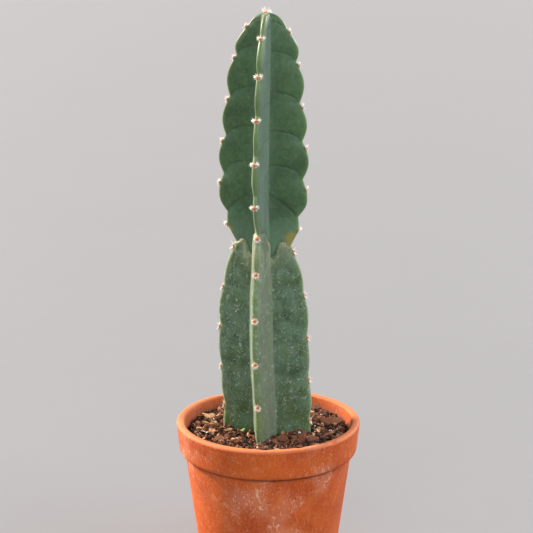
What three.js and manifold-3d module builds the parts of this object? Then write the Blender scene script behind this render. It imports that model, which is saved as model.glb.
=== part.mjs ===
// Potted cereus cactus: a four-ribbed columnar cactus in a 14 cm clay pot, with its soil and loose bark.
// Millimetres, +Z up. The origin is the centre of the pot's underside. The front rib points towards -Y.
import * as THREE from "three";
import { mergeVertices } from "three/addons/utils/BufferGeometryUtils.js";
import Module from "manifold-3d";

const wasm = await Module();
wasm.setup();

// ---- Driving dimensions -------------------------------------------------------------------------

const CLEARANCE = 0.35; // air left between pieces that only touch

const POT_HEIGHT = 124;
const RIM_RADIUS = 70;
const RIM_BAND = 24; // height of the thick band under the lip
const LIP_WIDTH = 6;
const BODY_TOP_RADIUS = 63.6; // just under the band
const BASE_RADIUS = 51;
const WALL = 6.5;
const FLOOR = 9;
const DRAIN_RADIUS = 9;

const SOIL_TOP = 114;
const SOIL_LUMP = 0.9;

const STEM_TOP = 427;
const WAIST = 261; // where one year's growth stopped and the next began
const ROOT_COUNT = 6;

const RIB_TURN = 90;
const POINTS_PER_RIB = 8;
const FRONT_BEARING = -11; // degrees from -Y towards +X

// Where the areoles sit on each rib: the first on the old and the new growth, and their spacing.
const RIBS = [
  { name: "front", oldFirst: 144, oldPitch: 32.7, newFirst: 291.8, newPitch: 30.1, waistLift: 9, reach: 1 },
  { name: "right", oldFirst: 124.4, oldPitch: 32.5, newFirst: 271.3, newPitch: 29.7, waistLift: -2, reach: 0.985 },
  { name: "back", oldFirst: 138, oldPitch: 31.4, newFirst: 283, newPitch: 30, waistLift: 4, reach: 0.99 },
  { name: "left", oldFirst: 133.2, oldPitch: 31, newFirst: 274.2, newPitch: 30.2, waistLift: 0, reach: 1 },
];
const SHOULDER_TOP = 267.5; // the highest areole of the old growth sits no higher than this
const CROWDING_START = 385; // above this the areoles close up towards the growing tip
const CROWDING = 9;
const LAST_AREOLE = 417;
const TIP_ROOM = 14; // the topmost bulge of each rib would end this far above the tip
const FULLEST = 0.55; // a bulge stands out furthest this share of the way down from its upper notch

// The plant's outline: height, radius over the ribs' crests, radius of the valleys, half thickness of a crest.
const OUTLINE = [
  [60, 0.6, 0.6, 0.3],
  [66, 9, 6, 3],
  [76, 20, 8.5, 3.4],
  [90, 30.5, 11, 3.2],
  [114, 34.4, 12.6, 2.9],
  [180, 35.2, 12.8, 2.7],
  [210, 34.2, 12.2, 2.6],
  [230, 31.4, 11.2, 2.5],
  [247, 27, 9.8, 2.3],
  [WAIST, 22.8, 8.4, 1.9],
  [277, 28.6, 7.6, 1.7],
  [292, 33, 7, 1.6],
  [318, 33.8, 6.8, 1.6],
  [352, 31.3, 6.6, 1.6],
  [378, 28.6, 6.3, 1.6],
  [390, 27.2, 6.1, 1.6],
  [402, 24, 5.8, 1.6],
  [411, 19.6, 5.4, 1.5],
  [418, 15, 5, 1.5],
  [423, 10.4, 4.4, 1.4],
  [426, 6, 3.2, 1.1],
  [STEM_TOP, 2.4, 1.6, 0.7],
];

// How far the axis wanders towards +X on the way up: height, offset.
const LEAN = [
  [60, 0],
  [120, -0.4],
  [190, -3.3],
  [300, -3.6],
  [360, -2.6],
  [STEM_TOP, -1],
];

// ---- Helpers ------------------------------------------------------------------------------------

const radians = THREE.MathUtils.degToRad;

// A smooth value at height z, through rows of [height, value, ...].
function along(rows, z, column) {
  const last = rows.length - 1;
  if (z <= rows[0][0]) return rows[0][column];
  if (z >= rows[last][0]) return rows[last][column];
  const i = rows.findIndex((row) => row[0] > z) - 1;
  const slope = (a, b) => (rows[b][column] - rows[a][column]) / (rows[b][0] - rows[a][0]);
  const here = slope(i, i + 1);
  const before = i > 0 ? slope(i - 1, i) : here;
  const after = i + 1 < last ? slope(i + 1, i + 2) : here;
  const gentle = (a, b) => (a * b <= 0 ? 0 : (2 * a * b) / (a + b));
  const span = rows[i + 1][0] - rows[i][0];
  const t = (z - rows[i][0]) / span;
  const start = gentle(before, here) * span;
  const end = gentle(here, after) * span;
  return (
    rows[i][column] * (1 + 2 * t) * (1 - t) ** 2 +
    start * t * (1 - t) ** 2 +
    rows[i + 1][column] * t * t * (3 - 2 * t) +
    end * t * t * (t - 1)
  );
}

// A closed three.js geometry as a manifold-3d solid.
function solidOf(geometry) {
  const bare = geometry.index ? geometry.toNonIndexed() : geometry.clone();
  bare.deleteAttribute("normal");
  bare.deleteAttribute("uv");
  const merged = mergeVertices(bare, 1e-4);
  return new wasm.Manifold(
    new wasm.Mesh({
      numProp: 3,
      vertProperties: new Float32Array(merged.attributes.position.array),
      triVerts: new Uint32Array(merged.index.array),
    }),
  );
}

// A manifold-3d solid as a three.js geometry.
function geometryOf(solid) {
  const mesh = solid.getMesh();
  const points = new Float32Array(mesh.numVert * 3);
  for (let i = 0; i < mesh.numVert; i++) {
    points.set(mesh.vertProperties.subarray(i * mesh.numProp, i * mesh.numProp + 3), i * 3);
  }
  const geometry = new THREE.BufferGeometry();
  geometry.setAttribute("position", new THREE.BufferAttribute(points, 3));
  geometry.setIndex(new THREE.BufferAttribute(new Uint32Array(mesh.triVerts), 1));
  geometry.computeVertexNormals();
  return geometry;
}

function finish(color, roughness) {
  return new THREE.MeshStandardMaterial({ color, roughness, metalness: 0 });
}

const group = new THREE.Group();

function place(name, geometry, material) {
  const mesh = new THREE.Mesh(geometry, material);
  mesh.name = name;
  group.add(mesh);
}

const terracotta = finish(0xb85a30, 0.85);
const soilBrown = finish(0x3d2a1e, 0.95);
const skin = finish(0x4a6a4b, 0.55);
const wool = finish(0xe3c9a2, 0.9);
const bark = finish(0x7a4a36, 0.9);
const mineral = finish(0xe9e4dc, 0.9);
const freshGreen = finish(0x9cc08c, 0.6);

// ---- Pot ----------------------------------------------------------------------------------------

const BAND_FOOT = POT_HEIGHT - RIM_BAND;

// Inner radius of the pot's wall at a height.
function boreRadius(z) {
  const share = (z - FLOOR) / (BAND_FOOT - FLOOR);
  const top = BODY_TOP_RADIUS - WALL;
  const bottom = BASE_RADIUS - WALL + 1;
  if (z <= BAND_FOOT) return bottom + (top - bottom) * share;
  return top + ((RIM_RADIUS - LIP_WIDTH - top) * (z - BAND_FOOT)) / RIM_BAND;
}

function potGeometry() {
  const outline = [
    [DRAIN_RADIUS, 0],
    [BASE_RADIUS - 1.5, 0],
    [BASE_RADIUS, 1.5],
    [BODY_TOP_RADIUS, BAND_FOOT + 0.5],
    [RIM_RADIUS - 3.6, BAND_FOOT + 0.5],
    [RIM_RADIUS - 2, BAND_FOOT + 2.5],
    [RIM_RADIUS - 1.3, BAND_FOOT + 6],
    [RIM_RADIUS - 0.1, POT_HEIGHT - 2.4],
    [RIM_RADIUS - 0.7, POT_HEIGHT - 0.6],
    [RIM_RADIUS - 2.2, POT_HEIGHT],
    [RIM_RADIUS - LIP_WIDTH + 1.8, POT_HEIGHT - 0.2],
    [RIM_RADIUS - LIP_WIDTH + 0.3, POT_HEIGHT - 1.6],
    [boreRadius(POT_HEIGHT - 6), POT_HEIGHT - 6],
    [boreRadius(BAND_FOOT), BAND_FOOT],
    [boreRadius(FLOOR + 5), FLOOR + 5],
    [boreRadius(FLOOR) - 4, FLOOR],
    [DRAIN_RADIUS, FLOOR],
  ];
  const points = outline.map(([r, z]) => new THREE.Vector2(r, z));
  points.push(points[0].clone());
  return new THREE.LatheGeometry(points, 56).rotateX(Math.PI / 2);
}

place("clay_pot", potGeometry(), terracotta);

// ---- Cactus stem --------------------------------------------------------------------------------

// Heights of the areoles on one rib, lowest first.
function areoleHeights(rib) {
  const heights = [];
  for (let z = rib.oldFirst; z < SHOULDER_TOP + 10; z += rib.oldPitch) {
    heights.push(Math.min(z, SHOULDER_TOP));
  }
  for (let z = rib.newFirst; z < STEM_TOP; z += rib.newPitch) {
    const crowded = Math.max(0, z - CROWDING_START) / 40;
    const height = z - CROWDING * crowded ** 2;
    if (height < LAST_AREOLE) heights.push(height);
  }
  return heights;
}

// How far above an areole its notch lies: close on the young growth, further down the stem further off.
function notchAbove(rib, z) {
  if (z <= WAIST + rib.waistLift) return z + 1.5;
  return z + 2.8 + 0.075 * Math.max(0, 368 - z);
}

// Radius of a rib's crest at a height: the outline, scalloped between one areole's notch and the next.
function crestRadius(rib, z) {
  const nearWaist = Math.exp(-(((z - WAIST) / 26) ** 2));
  const reach = along(OUTLINE, z - rib.waistLift * nearWaist, 1) * rib.reach;
  const notches = areoleHeights(rib).map((height) => notchAbove(rib, height));
  const above = notches.find((notch) => notch > z) ?? STEM_TOP + TIP_ROOM;
  const below = notches.filter((notch) => notch <= z).pop() ?? notches[0] - rib.oldPitch;
  const isNew = z > WAIST + rib.waistLift;
  const fallen = Math.min(1, (above - z) / (above - below));
  const fullness =
    fallen < FULLEST
      ? Math.sin((fallen / FULLEST) * (Math.PI / 2))
      : Math.cos(((fallen - FULLEST) / (1 - FULLEST)) * (Math.PI / 2));
  const depth = (isNew ? 3.9 : 1.7) * Math.min(1, reach / 26) ** 2;
  return reach - depth * (1 - fullness);
}

// A point on the stem's skin. u runs from 0 to 1 over one rib, from valley to crest to valley.
function skinPoint(rib, bearing, u, z, swell) {
  const side = u < 0.5 ? -1 : 1;
  const fromCrest = Math.abs(2 * u - 1);
  const tipShare = 0.3;
  const half = along(OUTLINE, z, 3) + swell;
  const reach = Math.max(crestRadius(rib, z) + swell, half * 1.05);
  const valley = Math.min((along(OUTLINE, z, 2) + swell) * Math.SQRT1_2, reach * Math.SQRT1_2);
  let out;
  let across;
  if (fromCrest < tipShare) {
    const angle = (fromCrest / tipShare) * (Math.PI / 2);
    out = reach - half + half * Math.cos(angle);
    across = half * Math.sin(angle);
  } else {
    const f = (fromCrest - tipShare) / (1 - tipShare);
    const shoulder = Math.max(reach - half, valley);
    out = shoulder + (valley - shoulder) * f;
    across = half + (valley - half) * f;
  }
  const direction = new THREE.Vector2(Math.sin(bearing), -Math.cos(bearing));
  const x = direction.x * out - direction.y * across * side;
  const y = direction.y * out + direction.x * across * side;
  return new THREE.Vector3(x + along(LEAN, z, 1), y, z);
}

function bearingOf(index) {
  return radians(FRONT_BEARING + RIB_TURN * index);
}

// The stem's skin as a lathed tube whose points are then moved onto the ribs.
function skinGeometry(bottom, top, steps, pointsPerRib, swell) {
  const profile = [new THREE.Vector2(0, bottom - swell)];
  for (let i = 0; i <= steps; i++) profile.push(new THREE.Vector2(1, bottom + ((top - bottom) * i) / steps));
  profile.push(new THREE.Vector2(0, top + swell));
  const around = RIBS.length * pointsPerRib;
  const geometry = new THREE.LatheGeometry(profile, around).rotateX(Math.PI / 2);
  const position = geometry.attributes.position;
  for (let i = 0; i <= around; i++) {
    const slot = i % around;
    const ribIndex = Math.floor(slot / pointsPerRib);
    const u = (slot % pointsPerRib) / pointsPerRib;
    for (let j = 0; j < profile.length; j++) {
      const index = i * profile.length + j;
      const z = profile[j].y;
      const point =
        profile[j].x === 0
          ? new THREE.Vector3(along(LEAN, z, 1), 0, z)
          : skinPoint(RIBS[ribIndex], bearingOf(ribIndex), u, z, swell);
      position.setXYZ(index, point.x, point.y, point.z);
    }
  }
  return geometry;
}

// One root: a tube that leaves the stem's buried foot and wanders outwards and down.
function rootGeometry(index, swell) {
  const bearing = radians(20 + (360 / ROOT_COUNT) * index + 14 * Math.sin(index * 2.3));
  const spread = 30 + 4 * Math.sin(index * 1.7);
  const drop = 30 + 10 * Math.cos(index * 2.1);
  const at = (share, sway) =>
    new THREE.Vector3(
      Math.cos(bearing + sway) * spread * share,
      Math.sin(bearing + sway) * spread * share,
      72 - drop * share ** 1.5,
    );
  const path = new THREE.CatmullRomCurve3([at(0.1, 0), at(0.4, 0.12), at(0.7, -0.1), at(1 + swell * 0.02, 0.08)]);
  const section = new THREE.Shape();
  section.absarc(0, 0, 1.9 + swell, 0, Math.PI * 2);
  return new THREE.ExtrudeGeometry(section, { steps: 6, bevelEnabled: false, extrudePath: path, curveSegments: 3 });
}

function stemSolid(bottom, top, steps, swell) {
  let solid = solidOf(skinGeometry(bottom, top, steps, POINTS_PER_RIB, swell));
  if (solid.volume() < 0) throw new Error("the stem's skin is inside out");
  for (let i = 0; i < ROOT_COUNT; i++) solid = solid.add(solidOf(rootGeometry(i, swell)));
  return solid;
}

const STEM_FOOT = 62;
const STEM_STEPS = 54;
place("cactus_stem", geometryOf(stemSolid(STEM_FOOT, STEM_TOP, STEM_STEPS, 0)), skin);

// ---- Areoles ------------------------------------------------------------------------------------

const FELT_RADIUS = 1.9;
const FELT_PROUD = 1.3;
const SPINE_LENGTH = 3.6;
const SPINE_RADIUS = 0.42;
// Each spine's lean away from straight out, and its bearing round the areole, in degrees; 90 is upwards.
const SPINES = [
  [58, 25],
  [58, 155],
  [66, 232],
  [66, 308],
  [20, 90],
];

// The growth normal at an areole, square to the crest's own slope.
function crestFrame(rib, ribIndex, z) {
  const step = 1.2;
  const slope = (crestRadius(rib, z + step) - crestRadius(rib, z - step)) / (2 * step);
  const bearing = bearingOf(ribIndex);
  const outwards = new THREE.Vector3(Math.sin(bearing), -Math.cos(bearing), 0);
  const normal = outwards.clone().addScaledVector(new THREE.Vector3(0, 0, 1), -slope).normalize();
  const sideways = new THREE.Vector3(-outwards.y, outwards.x, 0);
  const upwards = new THREE.Vector3().crossVectors(normal, sideways);
  const seat = outwards.clone().multiplyScalar(crestRadius(rib, z));
  seat.x += along(LEAN, z, 1);
  seat.z = z;
  return new THREE.Matrix4().makeBasis(sideways, upwards, normal).setPosition(seat);
}

// A felt cushion with its short spines, standing on the local XY plane.
function areoleSolid(scale) {
  const felt = new THREE.SphereGeometry(FELT_RADIUS, 6, 4).scale(1, 1.15, FELT_PROUD / FELT_RADIUS);
  let solid = solidOf(felt);
  for (const [lean, turn] of SPINES) {
    const spine = new THREE.ConeGeometry(SPINE_RADIUS, SPINE_LENGTH, 3);
    spine.rotateX(Math.PI / 2).translate(0, 0, SPINE_LENGTH / 2);
    spine.rotateY(radians(lean)).rotateZ(radians(turn));
    spine.translate(0, 0, FELT_PROUD * 0.4);
    solid = solid.add(solidOf(spine));
  }
  return solid.scale([scale, scale, scale]);
}

// The cushions sit on this slightly larger stem, so that they clear the real one.
const seatSolid = solidOf(skinGeometry(STEM_FOOT, STEM_TOP, STEM_STEPS, POINTS_PER_RIB, CLEARANCE));

// The largest piece of a cut solid: what a cut leaves as loose crumbs is dropped.
function mainPiece(solid) {
  return solid.decompose().reduce((best, piece) => (piece.volume() > best.volume() ? piece : best));
}

RIBS.forEach((rib, ribIndex) => {
  areoleHeights(rib).forEach((z, number) => {
    const scale = z > CROWDING_START ? 0.9 : 1;
    const solid = areoleSolid(scale).transform(crestFrame(rib, ribIndex, z).elements);
    const name = `areole_${rib.name}_${String(number + 1).padStart(2, "0")}`;
    place(name, geometryOf(mainPiece(solid.subtract(seatSolid))), wool);
  });
});

// The growing tip: a tuft of felt and young spines on the crown of the stem.
function crownSolid() {
  const upright = new THREE.Matrix4().setPosition(along(LEAN, STEM_TOP, 1), 0, STEM_TOP - 0.3);
  const crown = areoleSolid(1.25).transform(upright.elements);
  return mainPiece(crown.subtract(seatSolid));
}

place("crown_tuft", geometryOf(crownSolid()), wool);

// ---- Loose pieces on the soil -------------------------------------------------------------------

// The soil's own surface: low lumps, a little higher against the wall.
function soilHeight(x, y) {
  const lumps = Math.sin(x * 0.21 + 1.1) * Math.cos(y * 0.19) + 0.5 * Math.sin(x * 0.43 - y * 0.37 + 0.6);
  const radius = Math.hypot(x, y);
  return SOIL_TOP + SOIL_LUMP * lumps + 1.6 * (radius / 60) ** 4;
}

// A flat, broken chip of bark: an irregular outline with some thickness.
function chipGeometry(length, width, thickness, seed, grow) {
  const corners = 7;
  const outline = [];
  for (let i = 0; i < corners; i++) {
    const angle = (i / corners) * Math.PI * 2;
    const ragged = 1 + 0.16 * Math.sin(seed * 5.1 + i * 2.7);
    const x = Math.cos(angle) * (length / 2) * ragged;
    const y = Math.sin(angle) * (width / 2) * ragged;
    const size = Math.hypot(x, y);
    outline.push(new THREE.Vector2((x * (size + grow)) / size, (y * (size + grow)) / size));
  }
  const depth = thickness + 2 * grow;
  return new THREE.ExtrudeGeometry(new THREE.Shape(outline), { depth, bevelEnabled: false })
    .translate(0, 0, -depth / 2);
}

// Bark chips: place on the soil, size, turn about the vertical and tilt, in millimetres and degrees.
const CHIPS = [
  { x: 49, y: 10, length: 20, width: 7.5, thickness: 2.4, turn: 4, tilt: 30, lift: 3 },
  { x: 34, y: 24, length: 11, width: 8, thickness: 2, turn: 14, tilt: 30, lift: 2.2 },
  { x: 37, y: 42, length: 12, width: 8, thickness: 2.2, turn: -20, tilt: 20, lift: 2.4 },
  { x: 11, y: -27, length: 10, width: 7.5, thickness: 3, turn: -28, tilt: 26, lift: 2.8 },
  { x: 33, y: -27, length: 8, width: 7, thickness: 2.2, turn: 15, tilt: 24, lift: 2.4 },
  { x: 22, y: -42, length: 10, width: 5, thickness: 2, turn: 8, tilt: 12, lift: 1.6 },
  { x: -46, y: 22, length: 11, width: 6, thickness: 2.2, turn: 20, tilt: 26, lift: 2 },
  { x: -36, y: -26, length: 10, width: 6, thickness: 2, turn: -35, tilt: 20, lift: 1.8 },
  { x: -14, y: 44, length: 12, width: 8, thickness: 2.2, turn: 55, tilt: 16, lift: 1.8 },
];

function chipSolid(chip, seed, grow) {
  const geometry = chipGeometry(chip.length, chip.width, chip.thickness, seed, grow);
  geometry.rotateX(radians(chip.tilt)).rotateZ(radians(chip.turn));
  geometry.translate(chip.x, chip.y, soilHeight(chip.x, chip.y) + chip.lift);
  return solidOf(geometry);
}

// Perlite: rounded, knobbly white grains.
const GRAINS = [
  { x: 47, y: -12, radius: 2.3 },
  { x: -38, y: 36, radius: 2 },
  { x: -50, y: -13, radius: 2.1 },
];

function grainSolid(grain, grow) {
  const geometry = new THREE.IcosahedronGeometry(grain.radius + grow, 1).scale(1.15, 0.95, 0.9);
  geometry.translate(grain.x, grain.y, soilHeight(grain.x, grain.y) + grain.radius * 0.5);
  return solidOf(geometry);
}

// A scrap of green leaf that stands in the soil beside the left rib.
const LEAF = { x: -20, y: -9, length: 7.5, width: 3.2, thickness: 1.3, turn: 35, tilt: -35 };

function leafSolid(grow) {
  const geometry = new THREE.SphereGeometry(0.5, 10, 6).rotateX(Math.PI / 2);
  geometry.scale(LEAF.length + 2 * grow, LEAF.width + 2 * grow, LEAF.thickness + 2 * grow);
  geometry.rotateY(radians(LEAF.tilt)).rotateZ(radians(LEAF.turn));
  geometry.translate(LEAF.x, LEAF.y, soilHeight(LEAF.x, LEAF.y) + 2);
  return solidOf(geometry);
}

CHIPS.forEach((chip, index) => place(`bark_chip_${index + 1}`, geometryOf(chipSolid(chip, index, 0)), bark));
GRAINS.forEach((grain, index) => place(`perlite_grain_${index + 1}`, geometryOf(grainSolid(grain, 0)), mineral));
place("leaf_scrap", geometryOf(leafSolid(0)), freshGreen);

// ---- Soil ---------------------------------------------------------------------------------------

// The soil fills the pot, and is hollowed where the plant's foot and roots and the loose pieces lie.
function soilSolid() {
  const bottom = FLOOR + CLEARANCE;
  const outline = [
    [0, bottom],
    [boreRadius(FLOOR) - 4 - CLEARANCE, bottom],
    [boreRadius(FLOOR + 5) - 2 * CLEARANCE, FLOOR + 5 + CLEARANCE],
    [boreRadius(BAND_FOOT) - 2 * CLEARANCE, BAND_FOOT],
  ];
  const rings = [boreRadius(SOIL_TOP) - 2 * CLEARANCE, 56, 48, 40, 31, 21, 10, 0];
  const points = outline.map(([r, z]) => new THREE.Vector2(r, z));
  rings.forEach((r) => points.push(new THREE.Vector2(r, SOIL_TOP)));
  const geometry = new THREE.LatheGeometry(points, 40).rotateX(Math.PI / 2);
  const position = geometry.attributes.position;
  for (let i = 0; i < position.count; i++) {
    if (position.getZ(i) < SOIL_TOP - 0.01) continue;
    position.setZ(i, soilHeight(position.getX(i), position.getY(i)));
  }
  let solid = solidOf(geometry).subtract(stemSolid(STEM_FOOT, 140, 14, CLEARANCE));
  CHIPS.forEach((chip, index) => (solid = solid.subtract(chipSolid(chip, index, CLEARANCE))));
  GRAINS.forEach((grain) => (solid = solid.subtract(grainSolid(grain, CLEARANCE))));
  return mainPiece(solid.subtract(leafSolid(CLEARANCE)));
}

place("potting_soil", geometryOf(soilSolid()), soilBrown);

export default group;
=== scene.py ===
# Potted cereus cactus: the finish of every surface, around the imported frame. Metres, +Z up.
import functools
import math
import random

import bmesh
import bpy
from mathutils import Matrix, Vector, noise


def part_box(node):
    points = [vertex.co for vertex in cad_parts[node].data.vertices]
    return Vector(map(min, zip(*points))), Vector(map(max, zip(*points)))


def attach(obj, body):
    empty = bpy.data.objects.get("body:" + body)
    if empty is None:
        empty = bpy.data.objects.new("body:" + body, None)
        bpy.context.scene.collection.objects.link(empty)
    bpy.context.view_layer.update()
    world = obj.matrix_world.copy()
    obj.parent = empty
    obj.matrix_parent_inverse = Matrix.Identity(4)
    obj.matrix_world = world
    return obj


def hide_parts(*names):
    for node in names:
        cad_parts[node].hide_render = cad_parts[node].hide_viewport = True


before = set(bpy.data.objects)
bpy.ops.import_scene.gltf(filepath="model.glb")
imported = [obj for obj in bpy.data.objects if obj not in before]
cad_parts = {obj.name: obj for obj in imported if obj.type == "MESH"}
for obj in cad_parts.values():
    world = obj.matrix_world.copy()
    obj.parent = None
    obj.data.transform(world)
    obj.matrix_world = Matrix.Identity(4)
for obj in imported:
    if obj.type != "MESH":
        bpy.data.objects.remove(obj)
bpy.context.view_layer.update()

MM = 0.001

# ---- Camera, floor and lights -------------------------------------------------------------------
# The plant stands on a plain pale floor that runs out of the picture. A warm sun from behind on the
# left draws the bright edges of the ribs, and soft light from the right and the front fills the rest.


def painted(red, green, blue):
    """A screen colour, 0 to 255, as the linear colour that materials and lights take."""
    def linear(level):
        share = level / 255
        return share / 12.92 if share <= 0.04045 else ((share + 0.055) / 1.055) ** 2.4
    return (linear(red), linear(green), linear(blue), 1.0)


def add_node(tree, kind, inputs=None, **settings):
    """A node with its settings, whose inputs are given as values or as sockets to link."""
    made = tree.nodes.new(kind)
    for name, value in settings.items():
        setattr(made, name, value)
    for socket, value in (inputs or {}).items():
        if isinstance(value, bpy.types.NodeSocket):
            tree.links.new(value, made.inputs[socket])
        else:
            made.inputs[socket].default_value = value
    return made


def mixed(tree, share, first, second, blend="MIX"):
    """The colour between two colours."""
    made = add_node(
        tree, "ShaderNodeMix", {0: share, 6: first, 7: second}, data_type="RGBA", blend_type=blend
    )
    return made.outputs[2]


def between(tree, value, low, high, to_low=0.0, to_high=1.0):
    """A value eased from one range to another and held at both ends."""
    made = add_node(
        tree,
        "ShaderNodeMapRange",
        {"Value": value, "From Min": low, "From Max": high, "To Min": to_low, "To Max": to_high},
        interpolation_type="SMOOTHSTEP",
    )
    return made.outputs["Result"]


def maths(tree, operation, first, second=0.0, clamp=False):
    """The result of one sum on two values."""
    made = add_node(tree, "ShaderNodeMath", {0: first, 1: second}, operation=operation, use_clamp=clamp)
    return made.outputs[0]


def new_material(name):
    """A material with its shader, and the object coordinates its pattern is laid out in."""
    material = bpy.data.materials.new(name)
    material.use_nodes = True
    tree = material.node_tree
    shader = tree.nodes["Principled BSDF"]
    place = add_node(tree, "ShaderNodeTexCoord").outputs["Object"]
    return material, tree, shader, place


def bumped(tree, shader, height, strength, distance):
    """Raises the surface by a height pattern."""
    bump = add_node(
        tree, "ShaderNodeBump", {"Height": height, "Strength": strength, "Distance": distance}
    )
    tree.links.new(bump.outputs["Normal"], shader.inputs["Normal"])


def pattern_group():
    """Broad patches with finer mottling in them, for any surface: a value about 0.5."""
    group = bpy.data.node_groups.new("Mottling", "ShaderNodeTree")
    group.interface.new_socket("Place", in_out="INPUT", socket_type="NodeSocketVector")
    group.interface.new_socket("Scale", in_out="INPUT", socket_type="NodeSocketFloat")
    group.interface.new_socket("Fineness", in_out="INPUT", socket_type="NodeSocketFloat")
    group.interface.new_socket("Value", in_out="OUTPUT", socket_type="NodeSocketFloat")
    given = group.nodes.new("NodeGroupInput").outputs
    broad = add_node(group, "ShaderNodeTexNoise", {"Vector": given[0], "Scale": given[1], "Detail": 3.0})
    fine_scale = maths(group, "MULTIPLY", given[1], given[2])
    fine = add_node(group, "ShaderNodeTexNoise", {"Vector": given[0], "Scale": fine_scale, "Detail": 5.0})
    both = add_node(group, "ShaderNodeMix", {0: 0.42, 2: broad.outputs[0], 3: fine.outputs[0]})
    result = group.nodes.new("NodeGroupOutput")
    group.links.new(both.outputs[0], result.inputs[0])
    return group


def speck_group():
    """Small round specks scattered over a surface: 1 in a speck, 0 between them."""
    group = bpy.data.node_groups.new("Specks", "ShaderNodeTree")
    group.interface.new_socket("Place", in_out="INPUT", socket_type="NodeSocketVector")
    group.interface.new_socket("Scale", in_out="INPUT", socket_type="NodeSocketFloat")
    group.interface.new_socket("Size", in_out="INPUT", socket_type="NodeSocketFloat")
    group.interface.new_socket("Share", in_out="INPUT", socket_type="NodeSocketFloat")
    group.interface.new_socket("Value", in_out="OUTPUT", socket_type="NodeSocketFloat")
    given = group.nodes.new("NodeGroupInput").outputs
    cells = add_node(group, "ShaderNodeTexVoronoi", {"Vector": given[0], "Scale": given[1]})
    half = maths(group, "MULTIPLY", given[2], 0.45)
    spot = between(group, cells.outputs["Distance"], half, given[2], 1.0, 0.0)
    chosen = add_node(group, "ShaderNodeSeparateColor", {"Color": cells.outputs["Color"]})
    kept = maths(group, "LESS_THAN", chosen.outputs[0], given[3])
    result = group.nodes.new("NodeGroupOutput")
    group.links.new(maths(group, "MULTIPLY", spot, kept), result.inputs[0])
    return group


MOTTLING = pattern_group()
SPECKS = speck_group()


def placed_group(tree, group, *values):
    """A node group set into a material, with its inputs in order."""
    made = tree.nodes.new("ShaderNodeGroup")
    made.node_tree = group
    for index, value in enumerate(values):
        if isinstance(value, bpy.types.NodeSocket):
            tree.links.new(value, made.inputs[index])
        else:
            made.inputs[index].default_value = value
    return made.outputs[0]


FLOOR_RADIUS = 200.0

floor_bm = bmesh.new()
bmesh.ops.create_circle(floor_bm, cap_ends=True, segments=96, radius=FLOOR_RADIUS)
floor_mesh = bpy.data.meshes.new("floor")
floor_bm.to_mesh(floor_mesh)
floor_bm.free()
floor = bpy.data.objects.new("floor", floor_mesh)
bpy.context.collection.objects.link(floor)
floor_material, tree, shader, place = new_material("pale floor")
tone = placed_group(tree, MOTTLING, place, 3.0, 9.0)
floor_colour = mixed(tree, tone, painted(117, 121, 129), painted(121, 125, 133))
tree.links.new(floor_colour, shader.inputs["Base Color"])
shader.inputs["Roughness"].default_value = 0.8
floor_mesh.materials.append(floor_material)

CAMERA_PLACE = (-1.3 * MM, -869 * MM, 440 * MM)
CAMERA_PITCH = 12.8  # degrees down from level
camera = bpy.data.objects.new("camera", bpy.data.cameras.new("camera"))
camera.data.sensor_width = 36
camera.data.lens = 81.05
camera.data.clip_end = 2 * FLOOR_RADIUS
camera.location = CAMERA_PLACE
camera.rotation_euler = (math.radians(90 - CAMERA_PITCH), 0, 0)
bpy.context.collection.objects.link(camera)
bpy.context.scene.camera = camera

# Each sun: the way to it, its strength, its softness in degrees and its colour.
SUNS = {
    "back_left": ((-1.0, 0.5, 0.7), 9.0, 9, painted(255, 236, 212)),
    "back_right": ((0.9, 0.7, 0.5), 2.6, 12, painted(255, 246, 236)),
    "right_fill": ((1.0, -0.4, 0.5), 1.5, 40, painted(246, 249, 255)),
    "front_fill": ((-0.2, -1.0, 0.7), 1.2, 50, painted(250, 251, 255)),
}
for sun_name, (way, strength, softness, colour) in SUNS.items():
    data = bpy.data.lights.new(sun_name, "SUN")
    data.energy = strength
    data.angle = math.radians(softness)
    data.color = colour[:3]
    sun = bpy.data.objects.new(sun_name, data)
    sun.rotation_euler = Vector(way).to_track_quat("Z", "Y").to_euler()
    bpy.context.collection.objects.link(sun)

world = bpy.data.worlds.new("studio")
bpy.context.scene.world = world
world.use_nodes = True
world.node_tree.nodes["Background"].inputs["Color"].default_value = painted(236, 241, 248)
world.node_tree.nodes["Background"].inputs["Strength"].default_value = 0.5
bpy.context.scene.view_settings.view_transform = "Standard"

# ---- Clay pot -----------------------------------------------------------------------------------
# A tapered pot of red clay, thrown and fired in one piece and left unglazed. A thick straight band
# carries the rounded lip, and the floor has one drain hole. Hard water has left pale marks on it.

pot_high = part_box("clay_pot")[1]
RIM_RADIUS = pot_high.x
POT_HEIGHT = pot_high.z
BAND_FOOT = POT_HEIGHT - 24 * MM
BAND_FOOT_RADIUS = RIM_RADIUS - 1.9 * MM
LIP_WIDTH = 6 * MM
BODY_TOP_RADIUS = 63.6 * MM
BASE_RADIUS = 51 * MM
WALL = 6.5 * MM
POT_FLOOR = 9 * MM
DRAIN_RADIUS = 9 * MM
GROOVE_HEIGHT = POT_HEIGHT - 3.6 * MM  # a faint ring turned under the lip
GROOVE_DEPTH = 0.3 * MM


def bore_radius(z):
    """Inner radius of the pot's wall at a height."""
    top = BODY_TOP_RADIUS - WALL
    bottom = BASE_RADIUS - WALL + 1 * MM
    if z <= BAND_FOOT:
        return bottom + (top - bottom) * (z - POT_FLOOR) / (BAND_FOOT - POT_FLOOR)
    return top + (RIM_RADIUS - LIP_WIDTH - top) * (z - BAND_FOOT) / (POT_HEIGHT - BAND_FOOT)


def arc(centre_radius, centre_z, radius, start, end, steps=5):
    """Points of an outline along an arc, with its angles in degrees."""
    angles = [math.radians(start + (end - start) * i / steps) for i in range(steps + 1)]
    return [(centre_radius + radius * math.cos(a), centre_z + radius * math.sin(a)) for a in angles]


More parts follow.
